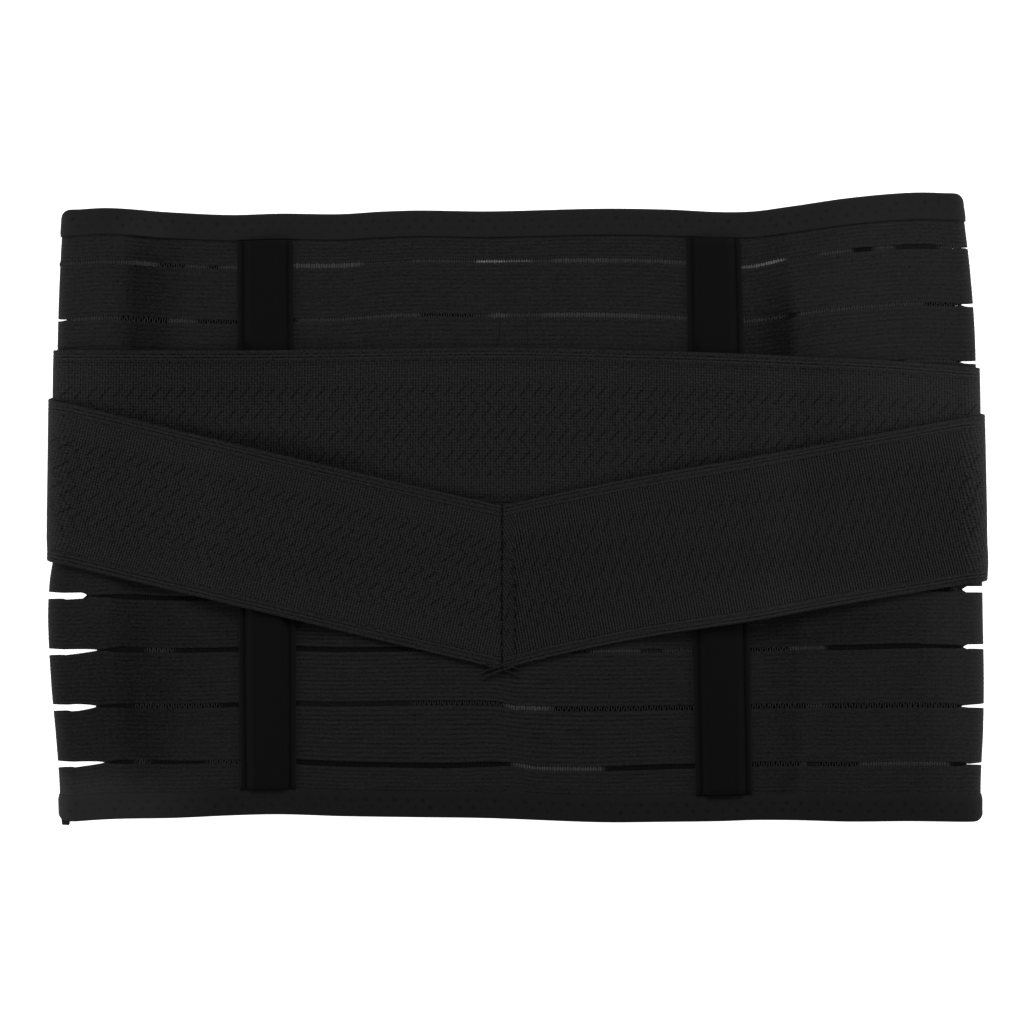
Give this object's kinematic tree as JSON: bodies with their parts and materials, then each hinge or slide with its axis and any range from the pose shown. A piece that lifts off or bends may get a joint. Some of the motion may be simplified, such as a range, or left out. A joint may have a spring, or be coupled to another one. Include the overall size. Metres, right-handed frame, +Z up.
{
  "type": "postpartum belly band",
  "caption": "Wide wrap-around abdominal support of slit elastic strips, closed into a flattened loop, with bound edges, stay casings, a straight strap and a V of straps.",
  "frame": {"origin": "middle of the foot of the bounding box, on the surface the band lies on", "axes": "+X along the band towards the right of the picture, +Y towards the band's top edge, +Z up, out of the wearer's back"},
  "size_m": [0.4149, 0.2765, 0.0252],
  "materials": {
    "ribbed_elastic": "black woven elastic in ribbed strips, matt",
    "binding_tape": "black folded binding tape with two rows of zigzag stitching",
    "plush_tape": "deep black brushed stay tape",
    "strap_elastic": "black herringbone woven elastic",
    "hook_and_loop": "black hook-and-loop tape"
  },
  "bodies": {
    "root": {"elastic_panel": "ribbed_elastic", "top_binding": "binding_tape", "bottom_binding": "binding_tape", "stay_casing_left": "plush_tape", "stay_casing_right": "plush_tape", "upper_strap": "strap_elastic", "left_strap": "strap_elastic", "right_strap": "strap_elastic", "left_tab": "hook_and_loop", "right_tab": "hook_and_loop", "closure_patch": "hook_and_loop"}
  },
  "joints": []
}
